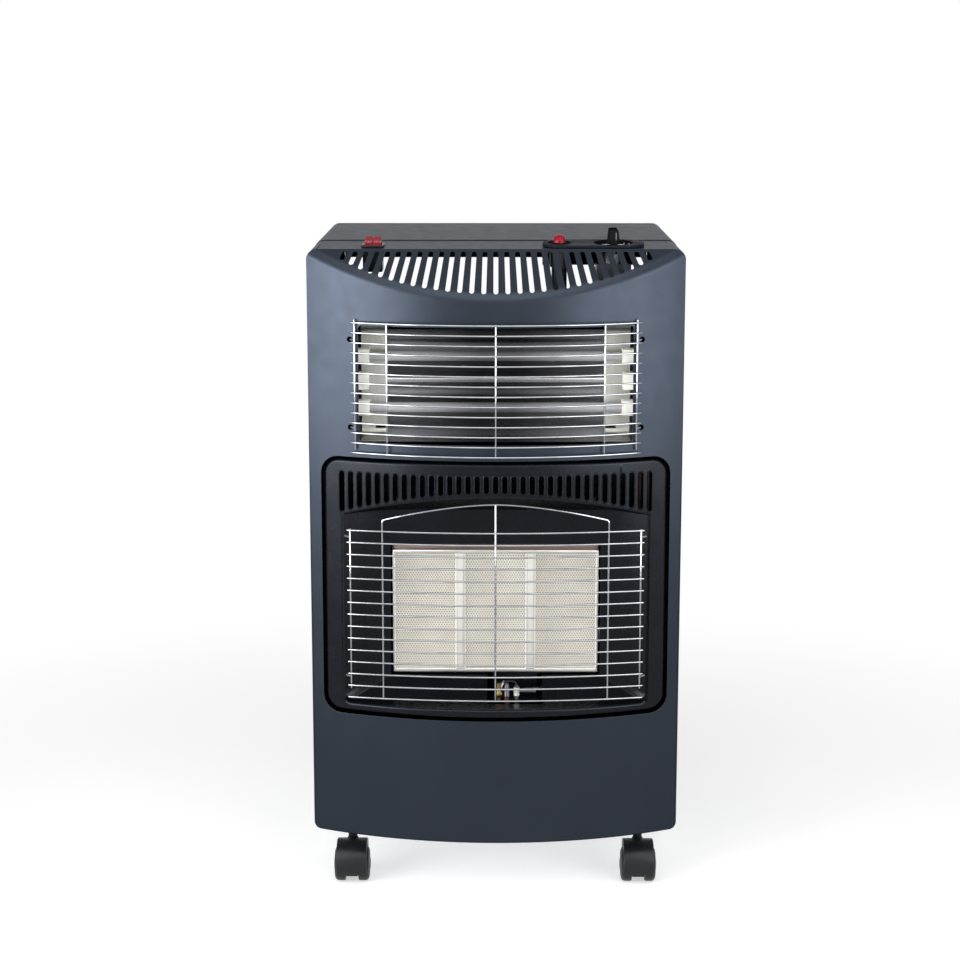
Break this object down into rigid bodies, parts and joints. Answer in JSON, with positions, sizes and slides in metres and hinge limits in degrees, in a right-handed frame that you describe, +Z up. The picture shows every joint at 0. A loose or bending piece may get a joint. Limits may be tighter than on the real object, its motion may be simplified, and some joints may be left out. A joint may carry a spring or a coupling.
{
  "type": "portable gas cabinet heater",
  "caption": "Upright cabinet heater on twin-wheel casters with a bowed front, a gas burner with ceramic plaques behind a wire guard, and a quartz-tube electric section above it.",
  "frame": {"origin": "centre of the bounding box's bottom face, on the floor under the middle of the heater", "axes": "+Z up, -Y out of the guarded front, +X to the right of someone facing the front"},
  "size_m": [0.415, 0.4374, 0.754],
  "materials": {
    "cabinet_paint": "satin metallic powder coat",
    "black_enamel": "semi-gloss heat-resistant enamel",
    "galvanised_steel": "galvanised",
    "stainless_steel": "brushed",
    "chrome_wire": "bright plated",
    "polished_aluminium": "bright rolled",
    "silver_trim": "satin",
    "black_plastic": "fine moulded",
    "red_plastic": "gloss",
    "burner_ceramic": "matt perforated",
    "white_ceramic": "unglazed",
    "quartz": "milky quartz",
    "brass_fitting": "turned",
    "copper_tube": "drawn",
    "lead_insulation": "matt"
  },
  "bodies": {
    "cabinet": {"front_panel": "cabinet_paint", "left_side_panel": "cabinet_paint", "right_side_panel": "cabinet_paint", "top_cover": "cabinet_paint", "base_plate": "galvanised_steel", "heat_shield": "galvanised_steel", "control_escutcheon": "black_plastic", "dial_ring": "black_plastic", "gas_valve": "galvanised_steel", "hose_tail": "brass_fitting", "igniter_body": "black_plastic", "switch_housing": "black_plastic", "upper_guard": "chrome_wire", "reflector_housing": "black_enamel", "reflector": "polished_aluminium", "quartz_tube_upper": "quartz", "tube_holder_upper_left": "white_ceramic", "tube_holder_upper_right": "white_ceramic", "quartz_tube_lower": "quartz", "tube_holder_lower_left": "white_ceramic", "tube_holder_lower_right": "white_ceramic", "burner_surround": "black_enamel", "lower_guard": "chrome_wire", "burner_frame": "stainless_steel", "plaque_left": "burner_ceramic", "plaque_middle": "burner_ceramic", "plaque_right": "burner_ceramic", "burner_plenum": "galvanised_steel", "mixing_tube": "galvanised_steel", "gas_injector": "brass_fitting", "gas_pipe": "copper_tube", "pilot_bracket": "galvanised_steel", "pilot_burner": "brass_fitting", "thermocouple": "copper_tube", "spark_electrode": "white_ceramic", "pilot_pipe": "silver_trim", "ignition_lead": "lead_insulation", "cable_gland": "black_plastic"},
    "back": {"rear_cover": "cabinet_paint"},
    "spindle": {"valve_spindle": "silver_trim"},
    "knob": {"gas_knob": "black_plastic"},
    "button": {"igniter_button": "red_plastic"},
    "left_rocker": {"rocker_left": "red_plastic"},
    "right_rocker": {"rocker_right": "red_plastic"},
    "front_left_swivel": {"front_left_caster_fork": "black_plastic", "front_left_caster_axle": "silver_trim"},
    "front_left_outer_wheel": {"front_left_caster_wheel_left": "black_plastic"},
    "front_left_inner_wheel": {"front_left_caster_wheel_right": "black_plastic"},
    "front_right_swivel": {"front_right_caster_fork": "black_plastic", "front_right_caster_axle": "silver_trim"},
    "front_right_outer_wheel": {"front_right_caster_wheel_right": "black_plastic"},
    "front_right_inner_wheel": {"front_right_caster_wheel_left": "black_plastic"},
    "rear_left_swivel": {"rear_left_caster_fork": "black_plastic", "rear_left_caster_axle": "silver_trim"},
    "rear_left_outer_wheel": {"rear_left_caster_wheel_left": "black_plastic"},
    "rear_left_inner_wheel": {"rear_left_caster_wheel_right": "black_plastic"},
    "rear_right_swivel": {"rear_right_caster_fork": "black_plastic", "rear_right_caster_axle": "silver_trim"},
    "rear_right_outer_wheel": {"rear_right_caster_wheel_right": "black_plastic"},
    "rear_right_inner_wheel": {"rear_right_caster_wheel_left": "black_plastic"}
  },
  "joints": [
    {"name": "rear_cover_pull", "type": "slide", "parent": "cabinet", "child": "back", "axis": [0, 1, 0], "range_m": [0, 0.25]},
    {"name": "knob_push", "type": "slide", "parent": "cabinet", "child": "spindle", "axis": [0, 0, -1], "range_m": [0, 0.004], "stiffness_N_per_m": 900},
    {"name": "knob_turn", "type": "hinge", "parent": "spindle", "child": "knob", "pos_m": [0.1295, -0.12673, 0.74], "axis": [0, 0, 1], "range_deg": [0, 210]},
    {"name": "igniter_press", "type": "slide", "parent": "cabinet", "child": "button", "axis": [0, 0, -1], "range_m": [0, 0.007], "stiffness_N_per_m": 900},
    {"name": "left_switch", "type": "hinge", "parent": "cabinet", "child": "left_rocker", "pos_m": [-0.1405, -0.12373, 0.7348], "axis": [1, 0, 0], "range_deg": [-24, 0]},
    {"name": "right_switch", "type": "hinge", "parent": "cabinet", "child": "right_rocker", "pos_m": [-0.1311, -0.12373, 0.7348], "axis": [1, 0, 0], "range_deg": [-24, 0]},
    {"name": "front_left_swivel_turn", "type": "hinge", "parent": "cabinet", "child": "front_left_swivel", "pos_m": [-0.1656, -0.12072, 0.06], "axis": [0, 0, 1], "continuous": true},
    {"name": "front_left_outer_roll", "type": "hinge", "parent": "front_left_swivel", "child": "front_left_outer_wheel", "pos_m": [-0.17925, -0.13473, 0.02], "axis": [1, 0, 0], "continuous": true},
    {"name": "front_left_inner_roll", "type": "hinge", "parent": "front_left_swivel", "child": "front_left_inner_wheel", "pos_m": [-0.15195, -0.13473, 0.02], "axis": [1, 0, 0], "continuous": true},
    {"name": "front_right_swivel_turn", "type": "hinge", "parent": "cabinet", "child": "front_right_swivel", "pos_m": [0.1656, -0.12072, 0.06], "axis": [0, 0, 1], "continuous": true},
    {"name": "front_right_outer_roll", "type": "hinge", "parent": "front_right_swivel", "child": "front_right_outer_wheel", "pos_m": [0.17925, -0.13473, 0.02], "axis": [1, 0, 0], "continuous": true},
    {"name": "front_right_inner_roll", "type": "hinge", "parent": "front_right_swivel", "child": "front_right_inner_wheel", "pos_m": [0.15195, -0.13473, 0.02], "axis": [1, 0, 0], "continuous": true},
    {"name": "rear_left_swivel_turn", "type": "hinge", "parent": "cabinet", "child": "rear_left_swivel", "pos_m": [-0.1656, 0.19328, 0.06], "axis": [0, 0, 1], "continuous": true},
    {"name": "rear_left_outer_roll", "type": "hinge", "parent": "rear_left_swivel", "child": "rear_left_outer_wheel", "pos_m": [-0.17925, 0.17927, 0.02], "axis": [1, 0, 0], "continuous": true},
    {"name": "rear_left_inner_roll", "type": "hinge", "parent": "rear_left_swivel", "child": "rear_left_inner_wheel", "pos_m": [-0.15195, 0.17927, 0.02], "axis": [1, 0, 0], "continuous": true},
    {"name": "rear_right_swivel_turn", "type": "hinge", "parent": "cabinet", "child": "rear_right_swivel", "pos_m": [0.1656, 0.19328, 0.06], "axis": [0, 0, 1], "continuous": true},
    {"name": "rear_right_outer_roll", "type": "hinge", "parent": "rear_right_swivel", "child": "rear_right_outer_wheel", "pos_m": [0.17925, 0.17927, 0.02], "axis": [1, 0, 0], "continuous": true},
    {"name": "rear_right_inner_roll", "type": "hinge", "parent": "rear_right_swivel", "child": "rear_right_inner_wheel", "pos_m": [0.15195, 0.17927, 0.02], "axis": [1, 0, 0], "continuous": true}
  ]
}
